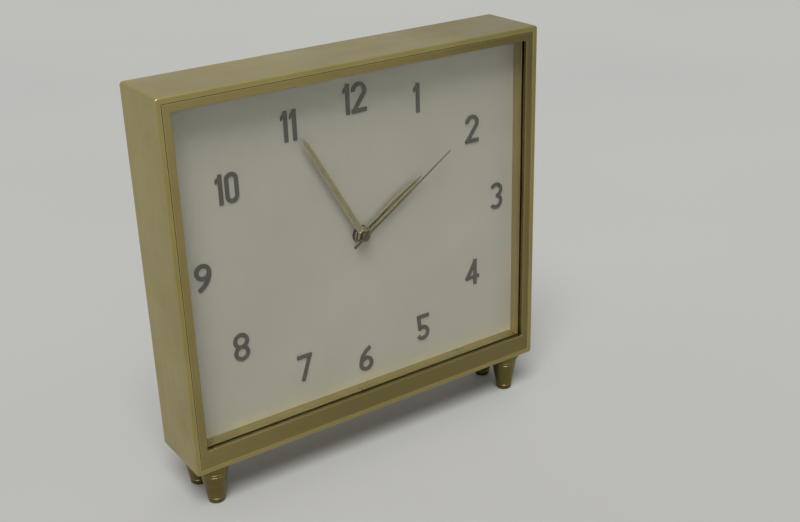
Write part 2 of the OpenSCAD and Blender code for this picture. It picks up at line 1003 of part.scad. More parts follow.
module second_wheel() {
  color(white_plastic)
    difference() {
      union() {
        gear(hub_at, level(4), wheel_t, n_second, second_mod, 0);
        gear(hub_at, level(3) - pinion_proud, level_step + pinion_proud, n_second_pinion, third_mod, 0);
        rod(hub_at, second_y + cap_seat, level(4), core_r);
        rod(hub_at, level(4), second_rear - end_play, shaft_r);
        rod(hub_at, level(4), second_rear + pivot_len, pivot_r);
      }
      lightening(hub_at, level(4), centre_windows);
    }
}

module intermediate_wheel() {
  color(white_plastic)
    difference() {
      union() {
        gear(inter_at, level(5), wheel_t, n_inter, inter_mod, 0);
        gear(inter_at, level(4) - pinion_proud, level_step + pinion_proud, n_inter_pinion, second_mod,
          inter_pinion_turn);
        arbor(inter_at, inter_front - pivot_len + end_play, inter_rear + pivot_len - end_play);
      }
      lightening(inter_at, level(5), inter_windows);
    }
}

magnet_y = stator_y + stator_t / 2 - magnet_t / 2;

module rotor_pinion() {
  color(white_plastic) {
    gear(rotor_at, level(5) - pinion_proud, wheel_t + 2 * pinion_proud, n_rotor, inter_mod, rotor_turn);
    rod(rotor_at, magnet_y - 3 * end_play, level(5), magnet_bore - press_gap);
    arbor(rotor_at, rotor_front - pivot_len + end_play, rotor_rear + pivot_len - end_play);
  }
}

module rotor_magnet() {
  color(iron)
    difference() {
      rod(rotor_at, magnet_y, magnet_y + magnet_t, magnet_r);
      rod(rotor_at, magnet_y - past, magnet_y + magnet_t + past, magnet_bore);
    }
}

// Motor and electric parts

module stator() {
  arm_x0 = -lug_x - lug_w / 2;
  notch_dirs = [100, 280];
  color(iron)
    difference() {
      plate(stator_y, stator_t)
        translate([0, hub_z])
          difference() {
            union() {
              translate([arm_x0, rotor_at[1] - arm_w / 2]) square([rotor_at[0] - arm_x0, arm_w]);
              translate([arm_x0, rotor_at[1] - arm_w / 2])
                square([lug_w, coil_up + lug_w / 2 - rotor_at[1] + arm_w / 2]);
              translate([lug_x - lug_w / 2, rotor_at[1]])
                square([lug_w, coil_up + lug_w / 2 - rotor_at[1]]);
              translate(rotor_at) circle(magnet_r + pole_gap + pole_w);
            }
            translate(rotor_at) circle(magnet_r + pole_gap);
            for (a = notch_dirs) {
              translate(rotor_at + polar(magnet_r + pole_gap + pole_w, a)) circle(pole_w / 2);
            }
          }
      for (s = [-1, 1]) {
        rod([s * lug_x, coil_up], stator_y - past, stator_y + stator_t + past, stator_screw_r + thread_gap);
      }
    }
}

module coil_core() {
  color(iron)
    difference() {
      union() {
        block(
          [-lug_x, stator_y - core_t, hub_z + coil_up - core_w / 2],
          [lug_x, stator_y, hub_z + coil_up + core_w / 2]
        );
        for (s = [-1, 1]) {
          block(
            [s * lug_x - lug_w / 2, stator_y - core_t, hub_z + coil_up - lug_w / 2],
            [s * lug_x + lug_w / 2, stator_y, hub_z + coil_up + lug_w / 2]
          );
        }
      }
      for (s = [-1, 1]) {
        rod([s * lug_x, coil_up], stator_y - core_t - past, stator_y + past, stator_screw_r + thread_gap);
      }
    }
}

// Rod along X from x0 to x1 on the coil's axis
module coil_rod(x0, x1, r) {
  translate([x0, coil_y, hub_z + coil_up]) rotate([0, 90, 0]) cylinder(h = x1 - x0, r = r);
}

module coil_bobbin() {
  color(white_plastic)
    difference() {
      union() {
        coil_rod(coil_x0, coil_x1, barrel_r);
        coil_rod(coil_x0, coil_x0 + flange_t, flange_r);
        coil_rod(coil_x1 - flange_t, coil_x1, flange_r);
      }
      block(
        [coil_x0 - past, coil_y - core_t / 2 - thread_gap, hub_z + coil_up - core_w / 2 - thread_gap],
        [coil_x1 + past, coil_y + core_t / 2 + thread_gap, hub_z + coil_up + core_w / 2 + thread_gap]
      );
    }
}

module coil_winding() {
  color(copper)
    difference() {
      coil_rod(coil_x0 + flange_t, coil_x1 - flange_t, winding_r);
      coil_rod(coil_x0, coil_x1, barrel_r);
    }
}

module stator_screws() {
  color(steel)
    for (s = [-1, 1]) {
      difference() {
        union() {
          rod([s * lug_x, coil_up], stator_y - core_t - stator_screw_len, stator_y + stator_t,
            stator_screw_r);
          rod([s * lug_x, coil_up], stator_y + stator_t, stator_y + stator_t + stator_head_t,
            stator_head_r);
        }
        translate([s * lug_x, stator_y + stator_t + stator_head_t, hub_z + coil_up])
          cube([2 * stator_head_r + past, 2 * slot_deep, slot_w], center = true);
      }
    }
}

module circuit_board() {
  color(board_green)
    block([board_x0, board_y, hub_z + board_z0], [board_x1, board_y + board_t, hub_z + board_z1]);
}

chip_r = 2.6;
chip_top_r = 1.82;
chip_t = 1;
chip_inset = 8.5;
chip_drop = 6;
chip_at = [board_x0 + chip_inset, board_z1 - chip_drop];
can_r = 1;
can_len = 6;
can_inset = 3;
can_rise = 2;
can_x = board_x0 + can_inset;
can_z0 = board_z0 + can_rise;

module circuit_chip() {
  color(ink)
    translate([chip_at[0], board_y + board_t, hub_z + chip_at[1]])
      rotate([-90, 0, 0]) cylinder(h = chip_t, r1 = chip_r, r2 = chip_top_r);
}

module quartz_crystal() {
  color(steel)
    translate([can_x, board_y + board_t + can_r, hub_z + can_z0]) cylinder(h = can_len, r = can_r);
}

// Contact plate in the battery bay. s is 1 at the raised end and -1 at the flat end.
module contact_leaf(s) {
  x1 = s * inner_half;
  x0 = x1 - s * leaf_t;
  bump_x = s * (cell_len / 2 + touch_gap);
  color(steel) {
    block(
      [min(x0, x1), inner_y + tab_w, cell_z - leaf_w / 2],
      [max(x0, x1), board_y + tab_w, bay_top_z - tab_gap]
    );
    block([min(x0, x1), tab_y0, cell_z], [max(x0, x1), board_y, bay_top_z + shell_t + leaf_t]);
    translate([min(x0, bump_x), cell_y, cell_z])
      rotate([0, 90, 0]) cylinder(h = abs(x0 - bump_x), r = bump_r);
  }
}

module contact_positive() {
  strip_z = bay_top_z + shell_t;
  finger_x = board_x1 - finger_in - finger_w;
  color(steel) {
    contact_leaf(1);
    block([finger_x, tab_y0, strip_z], [inner_half, board_y, strip_z + leaf_t]);
    block([finger_x, tab_y0, strip_z], [finger_x + finger_w, board_y, hub_z + finger_top]);
  }
}

module contact_negative() {
  strip_z = bay_top_z + shell_t;
  finger_x = board_x0 + finger_in;
  color(steel) {
    contact_leaf(-1);
    block([-inner_half, tab_y0, strip_z], [finger_x + finger_w, board_y, strip_z + leaf_t]);
    block([finger_x, tab_y0, strip_z], [finger_x + finger_w, board_y, hub_z + finger_top]);
  }
}

module battery() {
  color(jacket)
    translate([-cell_len / 2, cell_y, cell_z]) {
      rotate([0, 90, 0]) cylinder(h = cell_len - nub_len, r = cell_d / 2);
      rotate([0, 90, 0]) cylinder(h = cell_len, r = nub_r);
    }
}

case_band();
front_bezel();
glass();
dial_surround();
dial_plate();
numeral_1();
numeral_2();
numeral_3();
numeral_4();
numeral_5();
numeral_6();
numeral_7();
numeral_8();
numeral_9();
numeral_10();
numeral_11();
numeral_12();
hour_hand();
minute_hand();
second_hand();
foot_front_left();
foot_front_right();
foot_rear_left();
foot_rear_right();
corner_posts();
back_cover();
cover_screws();
dial_studs();
stud_nuts();
movement_front();
movement_back();
centre_arbor();
hour_wheel();
minute_wheel();
setting_knob();
centre_wheel();
third_wheel();
second_wheel();
intermediate_wheel();
rotor_pinion();
rotor_magnet();
stator();
coil_core();
coil_bobbin();
coil_winding();
stator_screws();
circuit_board();
circuit_chip();
quartz_crystal();
contact_positive();
contact_negative();
battery();
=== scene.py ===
"""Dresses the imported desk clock: brass case, glazed dial, hands, quartz movement, light and camera."""
import json
import math

import bmesh
import bpy
from mathutils import Matrix, Vector


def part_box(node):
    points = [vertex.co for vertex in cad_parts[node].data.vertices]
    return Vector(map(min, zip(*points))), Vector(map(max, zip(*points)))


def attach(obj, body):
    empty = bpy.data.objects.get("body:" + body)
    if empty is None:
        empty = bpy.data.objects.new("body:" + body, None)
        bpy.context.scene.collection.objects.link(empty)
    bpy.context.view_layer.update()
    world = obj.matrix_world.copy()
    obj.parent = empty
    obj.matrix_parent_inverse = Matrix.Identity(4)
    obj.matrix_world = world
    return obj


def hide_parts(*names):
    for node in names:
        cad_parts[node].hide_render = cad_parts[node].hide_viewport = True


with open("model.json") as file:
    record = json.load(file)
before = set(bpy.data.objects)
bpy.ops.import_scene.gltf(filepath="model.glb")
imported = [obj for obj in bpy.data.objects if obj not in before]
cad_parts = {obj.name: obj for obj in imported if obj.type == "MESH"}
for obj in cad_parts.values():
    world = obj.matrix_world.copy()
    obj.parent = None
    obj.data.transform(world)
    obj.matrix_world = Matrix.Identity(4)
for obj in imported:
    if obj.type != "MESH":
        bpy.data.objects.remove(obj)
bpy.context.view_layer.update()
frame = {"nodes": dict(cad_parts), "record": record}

MM = 0.001
NODES = frame["nodes"]

# Settings that the mesh helpers share, in degrees and millimetres
SHARP_ANGLE = 32
FLAT_FACE_WEIGHT = 80
LEAST_RADIUS = 0.02
EDGE_STEPS = 4
WELD_DISTANCE = 0.002


def span(node):
    """Lowest and highest corner of a CAD node, in millimetres."""
    low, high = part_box(node)
    return low / MM, high / MM


# Sizes taken from the frame, in millimetres
band_low, band_high = span("case_band")
bezel_low, bezel_high = span("front_bezel")
surround_low, surround_high = span("dial_surround")
knob_low, knob_high = span("setting_knob")
battery_low, battery_high = span("battery")
back_low, back_high = span("movement_back")
hub_z = (back_low.z + back_high.z) / 2
FRONT_Y = band_low.y
BACK_Y = band_high.y
HUB = (0, hub_z)


# Mesh helpers


def add_piece(name, bm, material, body, replaces=()):
    """Makes an object from a bmesh in millimetres, smooth but for its sharp edges, and says which body it
    rides on and which CAD nodes it stands for."""
    bmesh.ops.recalc_face_normals(bm, faces=bm.faces)
    mesh = bpy.data.meshes.new(name)
    bm.to_mesh(mesh)
    bm.free()
    mesh.transform(Matrix.Scale(MM, 4))
    mesh.polygons.foreach_set("use_smooth", [True] * len(mesh.polygons))
    mesh.set_sharp_from_angle(angle=math.radians(SHARP_ANGLE))
    mesh.materials.append(material)
    piece = bpy.data.objects.new(name, mesh)
    bpy.context.scene.collection.objects.link(piece)
    weighted = piece.modifiers.new("flat_faces", "WEIGHTED_NORMAL")
    weighted.keep_sharp = True
    weighted.weight = FLAT_FACE_WEIGHT
    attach(piece, body)
    if replaces:
        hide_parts(*replaces)
    return piece


def loft(bm, rings, closed=False):
    """Joins rings of as many points each into a skin, capped at both ends, or with its last ring joined to
    the first one where closed is set."""
    made = [[bm.verts.new(p) for p in ring] for ring in rings]
    count = len(made[0])
    pairs = list(zip(made, made[1:]))
    if closed:
        pairs.append((made[-1], made[0]))
    for a, b in pairs:
        for i in range(count):
            j = (i + 1) % count
            bm.faces.new((a[i], a[j], b[j], b[i]))
    if not closed:
        bm.faces.new(made[0])
        bm.faces.new(reversed(made[-1]))


def rect_ring(rect, inset, radius, y, steps=8):
    """Rounded rectangle (x0, x1, z0, z1) at y, inset on every side."""
    x0, x1, z0, z1 = rect
    x0, x1, z0, z1 = x0 + inset, x1 - inset, z0 + inset, z1 - inset
    r = max(radius, LEAST_RADIUS)
    corners = ((x1 - r, z1 - r, 0), (x0 + r, z1 - r, 90), (x0 + r, z0 + r, 180), (x1 - r, z0 + r, 270))
    points = []
    for cx, cz, start in corners:
        for k in range(steps + 1):
            a = math.radians(start + 90 * k / steps)
            points.append(Vector((cx + r * math.cos(a), y, cz + r * math.sin(a))))
    return points


def arc(centre, radius, start, end, steps):
    """Points (u, v) along an arc, with angles in degrees."""
    turns = [math.radians(start + (end - start) * k / steps) for k in range(steps + 1)]
    return [(centre[0] + radius * math.cos(a), centre[1] + radius * math.sin(a)) for a in turns]


def frame_piece(name, outer, inner, y0, y1, edges, radii, material, replaces):
    """Flat frame between two rectangles. edges rounds its outer and its inner edges, and radii rounds the
    corners of its two outlines."""
    bm = bmesh.new()
    outer_edge, inner_edge = edges
    outer_radius, inner_radius = radii
    rings = []
    for d, y in arc((outer_edge, y0 + outer_edge), outer_edge, 180, 270, EDGE_STEPS):
        rings.append(rect_ring(outer, d, outer_radius - d, y))
    for d, y in arc((inner_edge, y0 + inner_edge), inner_edge, 270, 180, EDGE_STEPS):
        rings.append(rect_ring(inner, -d, inner_radius + d, y))
    for d, y in arc((inner_edge, y1 - inner_edge), inner_edge, 180, 90, EDGE_STEPS):
        rings.append(rect_ring(inner, -d, inner_radius + d, y))
    for d, y in arc((outer_edge, y1 - outer_edge), outer_edge, 90, 180, EDGE_STEPS):
        rings.append(rect_ring(outer, d, outer_radius - d, y))
    loft(bm, rings, closed=True)
    return add_piece(name, bm, material, "case", replaces)


def lathe(bm, profile, centre, axis="Y", steps=64):
    """Solid of revolution with flat ends. profile holds (radius, place along the axis), and its points on
    the axis only say where the ends are."""
    rings = []
    for radius, along in profile:
        if radius == 0:
            continue
        ring = []
        for k in range(steps):
            a = 2 * math.pi * k / steps
            u, v = radius * math.cos(a), radius * math.sin(a)
            if axis == "Y":
                ring.append(Vector((centre[0] + u, along, centre[1] + v)))
            elif axis == "Z":
                ring.append(Vector((centre[0] + u, centre[1] + v, along)))
            else:
                ring.append(Vector((along, centre[0] + u, centre[1] + v)))
        rings.append(ring)
    loft(bm, rings)


def rounded_profile(points, edge, steps=EDGE_STEPS):
    """Profile with its inner points rounded by up to edge."""
    most_of_side = 0.45
    out = [points[0]]
    for before, here, after in zip(points, points[1:], points[2:]):
        a, p, b = Vector(before), Vector(here), Vector(after)
        reach = min(edge, (a - p).length * most_of_side, (b - p).length * most_of_side)
        start, end = p + (a - p).normalized() * reach, p + (b - p).normalized() * reach
        for k in range(steps + 1):
            t = k / steps
            q = start * (1 - t) ** 2 + p * 2 * t * (1 - t) + end * t**2
            out.append((q.x, q.y))
    out.append(points[-1])
    return out


def softened(name, node, width, material, body="case"):
    """Copy of a CAD node with its sharp edges rounded by width, which stands for the node."""
    flat_angle, bevel_angle = math.radians(0.6), math.radians(28)
    bm = bmesh.new()
    bm.from_mesh(NODES[node].data)
    bmesh.ops.scale(bm, vec=Vector((1 / MM,) * 3), verts=bm.verts)
    bmesh.ops.remove_doubles(bm, verts=bm.verts, dist=WELD_DISTANCE)
    bmesh.ops.dissolve_limit(bm, angle_limit=flat_angle, verts=bm.verts, edges=bm.edges)
    sharp = [e for e in bm.edges if len(e.link_faces) == 2 and e.calc_face_angle(0) > bevel_angle]
    bmesh.ops.bevel(
        bm, geom=sharp, offset=width, offset_type="OFFSET", segments=2, profile=0.5, affect="EDGES",
        clamp_overlap=True,
    )
    bmesh.ops.dissolve_degenerate(bm, dist=WELD_DISTANCE, edges=bm.edges)
    return add_piece(name, bm, material, body, (node,))


# Material helpers

# Sockets of a Mix node, which has one set for numbers and one for colours
NUMBER_FIRST, NUMBER_SECOND, NUMBER_OUT = 2, 3, 0
COLOUR_FIRST, COLOUR_SECOND, COLOUR_OUT = 6, 7, 2


def colour_mix(nodes, links, value, first, second):
    """Colour between first and second by value, which runs from 0 to 1. first may be a socket."""
    node = nodes.new("ShaderNodeMix")
    node.data_type = "RGBA"
    if isinstance(first, bpy.types.NodeSocket):
        links.new(first, node.inputs[COLOUR_FIRST])
    else:
        node.inputs[COLOUR_FIRST].default_value = (*first, 1)
    node.inputs[COLOUR_SECOND].default_value = (*second, 1)
    links.new(value, node.inputs["Factor"])
    return node.outputs[COLOUR_OUT]


def larger_of(nodes, links, first, second):
    """The larger of two numbers."""
    node = nodes.new("ShaderNodeMath")
    node.operation = "MAXIMUM"
    links.new(first, node.inputs[0])
    links.new(second, node.inputs[1])
    return node.outputs[0]


class Shade:
    """A node material under construction, with short calls for the usual nodes."""

    def __init__(self, name, colour, roughness, metallic=0.0):
        self.material = bpy.data.materials.new(name)
        self.material.use_nodes = True
        self.material.diffuse_color = (*colour, 1)
        tree = self.material.node_tree
        self.nodes, self.links = tree.nodes, tree.links
        self.shader = next(n for n in self.nodes if n.type == "BSDF_PRINCIPLED")
        self.shader.inputs["Base Color"].default_value = (*colour, 1)
        self.shader.inputs["Roughness"].default_value = roughness
        self.shader.inputs["Metallic"].default_value = metallic
        self.place = self.nodes.new("ShaderNodeTexCoord").outputs["Object"]

    def noise(self, size, detail=4.0, stretch=(1, 1, 1), roughness=0.55):
        """Noise whose features are size millimetres wide, stretched along the axes."""
        mapping = self.nodes.new("ShaderNodeMapping")
        mapping.inputs["Scale"].default_value = [1 / (size * MM * s) for s in stretch]
        self.links.new(self.place, mapping.inputs["Vector"])
        texture = self.nodes.new("ShaderNodeTexNoise")
        texture.inputs["Scale"].default_value = 1.0
        texture.inputs["Detail"].default_value = detail
        texture.inputs["Roughness"].default_value = roughness
        self.links.new(mapping.outputs["Vector"], texture.inputs["Vector"])
        return texture.outputs["Fac"]

    def spread(self, value, low, high, start=0.3, end=0.7):
        """value mapped from start..end to low..high."""
        node = self.nodes.new("ShaderNodeMapRange")
        for key, number in (("From Min", start), ("From Max", end), ("To Min", low), ("To Max", high)):
            node.inputs[key].default_value = number
        self.links.new(value, node.inputs["Value"])
        return node.outputs["Result"]

    def towards(self, direction, start, end):
        """0 where the place along direction is start millimetres or less, and 1 where it is end or more."""
        node = self.nodes.new("ShaderNodeVectorMath")
        node.operation = "DOT_PRODUCT"
        node.inputs[1].default_value = [part / MM for part in direction]
        self.links.new(self.place, node.inputs[0])
        return self.spread(node.outputs["Value"], 0, 1, start, end)

    def far_out(self, reach):
        """1 where the surface is more than reach millimetres left or right of the middle, else 0."""
        split = self.nodes.new("ShaderNodeSeparateXYZ")
        self.links.new(self.place, split.inputs[0])
        distance = self.nodes.new("ShaderNodeMath")
        distance.operation = "ABSOLUTE"
        self.links.new(split.outputs["X"], distance.inputs[0])
        beyond = self.nodes.new("ShaderNodeMath")
        beyond.operation = "GREATER_THAN"
        beyond.inputs[1].default_value = reach * MM
        self.links.new(distance.outputs[0], beyond.inputs[0])
        return beyond.outputs[0]

    def switch(self, value, first, second):
        """Number first where value is 0, and second where it is 1."""
        node = self.nodes.new("ShaderNodeMix")
        for socket, key in ((value, "Factor"), (first, NUMBER_FIRST), (second, NUMBER_SECOND)):
            self.links.new(socket, node.inputs[key])
        return node.outputs[NUMBER_OUT]

    def tint(self, value, first, second):
        """Colour between first, a colour or a socket, and second by value, which runs from 0 to 1."""
        return colour_mix(self.nodes, self.links, value, first, second)

    def near_edges(self, reach):
        """1 within reach millimetres of an edge that sticks out, and 0 on flat ground."""
        bevel = self.nodes.new("ShaderNodeBevel")
        bevel.samples = 4
        bevel.inputs["Radius"].default_value = reach * MM
        geometry = self.nodes.new("ShaderNodeNewGeometry")
        turned = self.nodes.new("ShaderNodeVectorMath")
        turned.operation = "DOT_PRODUCT"
        self.links.new(bevel.outputs["Normal"], turned.inputs[0])
        self.links.new(geometry.outputs["Normal"], turned.inputs[1])
        return self.spread(turned.outputs["Value"], 1, 0, 0.86, 0.998)

    def in_corners(self, reach):
        """1 in corners and gaps narrower than reach millimetres, and 0 in the open."""
        shelter = self.nodes.new("ShaderNodeAmbientOcclusion")
        shelter.samples = 8
        shelter.inputs["Distance"].default_value = reach * MM
        return self.spread(shelter.outputs["AO"], 1, 0, 0.45, 0.95)

    def colour(self, socket):
        """Takes the surface's colour from socket."""
        self.links.new(socket, self.shader.inputs["Base Color"])

    def rough(self, socket):
        """Takes the surface's roughness from socket."""
        self.links.new(socket, self.shader.inputs["Roughness"])

    def bump(self, height, strength, depth):
        """Gives the surface a relief of depth millimetres."""
        node = self.nodes.new("ShaderNodeBump")
        node.inputs["Strength"].default_value = strength
        node.inputs["Distance"].default_value = depth * MM
        self.links.new(height, node.inputs["Height"])
        self.links.new(node.outputs["Normal"], self.shader.inputs["Normal"])


# The rim's brush lines run across up to here, left and right of the middle, and upward beyond it
RIM_STRIP = 70.05


def brushed_brass(
    name, light, dark, stretch, line=0.18, roughness=(0.26, 0.4), sides=None, dimmed=0, corner_shade=0.75
):
    """Lacquered brass with brush lines along the long side of stretch, faint tarnish, painted shade in its
    corners and gaps, and edges lighter from rubbed wear and painted highlight. line is the width of a brush
    line, and sides is the stretch of the lines beyond RIM_STRIP. dimmed is how far painted shade darkens
    the brass towards the lower right, and about half of it darkens the upper right corner once more as
    painted shadow.
    corner_shade is how dark the painted shade in the corners is."""
    shade = Shade(name, light, sum(roughness) / 2, 1.0)
    streak = line * 7
    lines, streaks = shade.noise(line, 3, stretch), shade.noise(streak, 3, stretch)
    if sides:
        outer = shade.far_out(RIM_STRIP)
        lines = shade.switch(outer, lines, shade.noise(line, 3, sides))
        streaks = shade.switch(outer, streaks, shade.noise(streak, 3, sides))
    clouds = shade.spread(shade.noise(38, 5), 0, 1, 0.35, 0.68)
    tarnish = shade.spread(shade.noise(9, 8, roughness=0.7), 0, 0.32, 0.56, 0.78)
    # This colour serves both the tarnish stains and the painted shade below
    stain_and_shade = [c * 0.6 for c in dark]
    # This colour serves the painted shadow in the upper right corner
    brown = [c * 0.35 for c in dark]
    base = shade.tint(clouds, light, dark)
    base = shade.tint(shade.spread(streaks, 0, 0.55), base, dark)
    base = shade.tint(shade.spread(lines, 0, 0.5), base, dark)
    base = shade.tint(tarnish, base, stain_and_shade)
    # Painted shade: the brass darkens towards the lower right, where less light falls, and its upper right
    # corner darkens once more as painted shadow
    if dimmed:
        lower_right = shade.towards((0.58, 0, -0.42), -97, -16)
        upper_right = shade.towards((0.5, 0, 0.5), 82, 104)
        base = shade.tint(shade.spread(lower_right, 0, dimmed, 0, 1), base, stain_and_shade)
        base = shade.tint(shade.spread(upper_right, 0, dimmed * 0.55, 0, 1), base, brown)
    # Painted shade: corners and gaps narrower than 2.5 mm are darkened, where shade falls
    base = shade.tint(shade.spread(shade.in_corners(2.5), 0, corner_shade, 0, 1), base, stain_and_shade)
    # Edges lighter within 0.5 mm: rubbed wear of the brass together with painted highlight along them
    rubbed_and_highlit = [min(1, c * 1.35 + 0.03) for c in light]
    shade.colour(shade.tint(shade.spread(shade.near_edges(0.5), 0, 0.7, 0, 1), base, rubbed_and_highlit))
    shade.rough(shade.spread(shade.noise(17, 6), *roughness))
    shade.bump(lines, 0.3, 0.014)
    return shade.material


def plastic(name, light, dark, roughness, grain=0.35, coat=0.0, depth=0.02):
    """Moulded plastic with a fine eroded grain, grain wide and depth deep."""
    shade = Shade(name, light, roughness)
    shade.colour(shade.tint(shade.spread(shade.noise(14), 0, 1), light, dark))
    shade.rough(shade.spread(shade.noise(6), roughness - 0.07, roughness + 0.08))
    shade.bump(shade.noise(grain, 2), 0.35, depth)
    shade.shader.inputs["Coat Weight"].default_value = coat
    return shade.material


def bare_metal(name, light, dark, roughness, stretch=(1, 1, 1), line=0.4):
    """Plated or stamped metal with light scratches, line wide."""
    shade = Shade(name, light, roughness, 1.0)
    shade.colour(shade.tint(shade.spread(shade.noise(4, 6), 0, 1), light, dark))
    scratches = shade.noise(line, 4, stretch)
    shade.rough(shade.spread(scratches, roughness - 0.08, roughness + 0.1))
    shade.bump(scratches, 0.2, 0.01)
    return shade.material


def dial_finish():
    """Silvered dial: matt lacquer over a fine vertical graining, a little darker where it has aged."""
    pale, dimmed = (0.462, 0.44, 0.368), (0.412, 0.392, 0.322)
    grain_colour, speck_colour = (0.375, 0.357, 0.295), (0.28, 0.265, 0.21)
    shade = Shade("dial_silver", (0.4, 0.39, 0.34), 0.5, 0.1)
    clouds = shade.spread(shade.noise(46, 3), 0, 1, 0.32, 0.72)
    grain = shade.noise(0.3, 2, (1, 1, 26))
    specks = shade.spread(shade.noise(0.7, 3), 0, 0.16, 0.64, 0.82)
    base = shade.tint(clouds, pale, dimmed)
    base = shade.tint(shade.spread(grain, 0, 0.3), base, grain_colour)
    shade.colour(shade.tint(specks, base, speck_colour))
    shade.rough(shade.spread(shade.noise(18), 0.44, 0.58))
    shade.bump(grain, 0.06, 0.006)
    return shade.material


def glass_finish():
    """Clear window glass that lets lamps through to the dial."""
    shade = Shade("clear_glass", (0.96, 0.98, 0.97), 0.0)
    shade.shader.inputs["Transmission Weight"].default_value = 1.0
    shade.shader.inputs["IOR"].default_value = 1.36
    path = shade.nodes.new("ShaderNodeLightPath").outputs
    clear = shade.nodes.new("ShaderNodeBsdfTransparent")
    mixed = shade.nodes.new("ShaderNodeMixShader")
    light_ray = larger_of(shade.nodes, shade.links, path["Is Shadow Ray"], path["Is Diffuse Ray"])
    shade.links.new(light_ray, mixed.inputs[0])
    shade.links.new(shade.shader.outputs[0], mixed.inputs[1])
    shade.links.new(clear.outputs[0], mixed.inputs[2])
    output = next(n for n in shade.nodes if n.type == "OUTPUT_MATERIAL")
    shade.links.new(mixed.outputs[0], output.inputs["Surface"])
    shade.bump(shade.noise(30, 1), 0.02, 0.01)
    return shade.material


def ink_finish():
    """Satin black lacquer on the numerals, worn thin in places."""
    black, worn = (0.066, 0.056, 0.044), (0.14, 0.12, 0.085)
    shade = Shade("numeral_black", black, 0.38)
    shade.colour(shade.tint(shade.spread(shade.noise(1.4, 6), 0, 0.5, 0.58, 0.82), black, worn))
    shade.rough(shade.spread(shade.noise(0.8), 0.3, 0.48))
    shade.bump(shade.noise(0.25, 3), 0.25, 0.01)
    return shade.material


def winding_finish():
    """Enamelled copper wire in close turns round the coil's axis."""
    wire = 0.24 * MM
    shade = Shade("copper_wire", (0.6, 0.25, 0.11), 0.32, 0.9)
    wave = shade.nodes.new("ShaderNodeTexWave")
    wave.bands_direction = "X"
    # At scale 1 this texture turns through 20 radians in a metre
    wave.inputs["Scale"].default_value = 2 * math.pi / 20 / wire
    wave.inputs["Distortion"].default_value = 0.4
    shade.links.new(shade.place, wave.inputs["Vector"])
    shade.colour(shade.tint(wave.outputs["Fac"], (0.62, 0.27, 0.12), (0.3, 0.1, 0.04)))
    shade.bump(wave.outputs["Fac"], 0.8, 0.05)
    return shade.material


def board_finish():
    """Green solder resist with the paths of copper tracks under it."""
    resist, track_colour = (0.03, 0.16, 0.07), (0.12, 0.34, 0.12)
    cell = 2.6 * MM
    shade = Shade("circuit_board", resist, 0.35)
    cells = shade.nodes.new("ShaderNodeTexVoronoi")
    cells.distance = "MANHATTAN"
    cells.feature = "DISTANCE_TO_EDGE"
    cells.inputs["Scale"].default_value = 1 / cell
    shade.links.new(shade.place, cells.inputs["Vector"])
    tracks = shade.spread(cells.outputs["Distance"], 1, 0, 0.06, 0.1)
    shade.colour(shade.tint(tracks, resist, track_colour))
    shade.bump(tracks, 0.5, 0.03)
    shade.shader.inputs["Coat Weight"].default_value = 0.4
    return shade.material


# The case brass carries painted shade towards the lower right and in its upper right corner
BRASS = brushed_brass("brass_case", (0.545, 0.455, 0.188), (0.4, 0.328, 0.122), (60, 1, 60), dimmed=0.4)
# A slightly darker copy of the case brass, with stronger painted shade to the lower right: painted shade on
# the front rim, whose faces take less light
BRASS_RIM = brushed_brass(
    "brass_rim", (0.505, 0.419, 0.173), (0.34, 0.276, 0.106), (60, 1, 1), sides=(1, 1, 60), dimmed=0.9
)
# A lighter copy of the case brass with little painted corner shade: painted light on the reveal between
# glass and dial, which lies in the shade of the rim
BRASS_REVEAL = brushed_brass(
    "brass_reveal", (0.62, 0.52, 0.235), (0.47, 0.39, 0.16), (60, 1, 60), corner_shade=0.25
)
# A much darker copy of the case brass: painted shade on the feet, which stand in the shadow under the case
BRASS_TURNED = brushed_brass(
    "brass_turned", (0.228, 0.187, 0.066), (0.146, 0.117, 0.037), (30, 30, 1), 0.22
)
BRASS_SHEET = brushed_brass("brass_sheet", (0.6, 0.515, 0.28), (0.44, 0.37, 0.178), (80, 1, 1), 0.2)
GILT = brushed_brass("gilt_hand", (0.6, 0.52, 0.295), (0.46, 0.393, 0.21), (1, 1, 1), 0.5, (0.2, 0.3))
BRONZE = brushed_brass("dark_bronze", (0.2, 0.163, 0.084), (0.14, 0.112, 0.055), (1, 1, 1), 0.5)
DIAL = dial_finish()
GLASS = glass_finish()
INK = ink_finish()
BLACK = plastic("black_plastic", (0.026, 0.026, 0.028), (0.042, 0.042, 0.045), 0.42)
WHITE = plastic("white_plastic", (0.74, 0.74, 0.7), (0.66, 0.66, 0.61), 0.36, 0.5, 0.15, 0.01)
KNOB = plastic("knob_plastic", (0.64, 0.64, 0.61), (0.55, 0.55, 0.52), 0.42, 0.4)
STEEL = bare_metal("plain_steel", (0.44, 0.44, 0.45), (0.3, 0.3, 0.31), 0.3, (14, 1, 1), 0.16)
IRON = bare_metal("stamped_iron", (0.33, 0.34, 0.36), (0.24, 0.25, 0.27), 0.4, (12, 1, 1))
MAGNET = bare_metal("sintered_magnet", (0.09, 0.09, 0.1), (0.06, 0.06, 0.065), 0.5)
SPRING = bare_metal("plated_strip", (0.64, 0.63, 0.58), (0.5, 0.49, 0.45), 0.26, (1, 1, 14))
COPPER = winding_finish()
BOARD = board_finish()
RESIN = plastic("potting_resin", (0.012, 0.012, 0.012), (0.02, 0.02, 0.022), 0.2, 1.5, 0.5, 0.05)
JACKET = bare_metal("battery_jacket", (0.2, 0.215, 0.24), (0.15, 0.16, 0.185), 0.34, (1, 30, 30), 0.3)
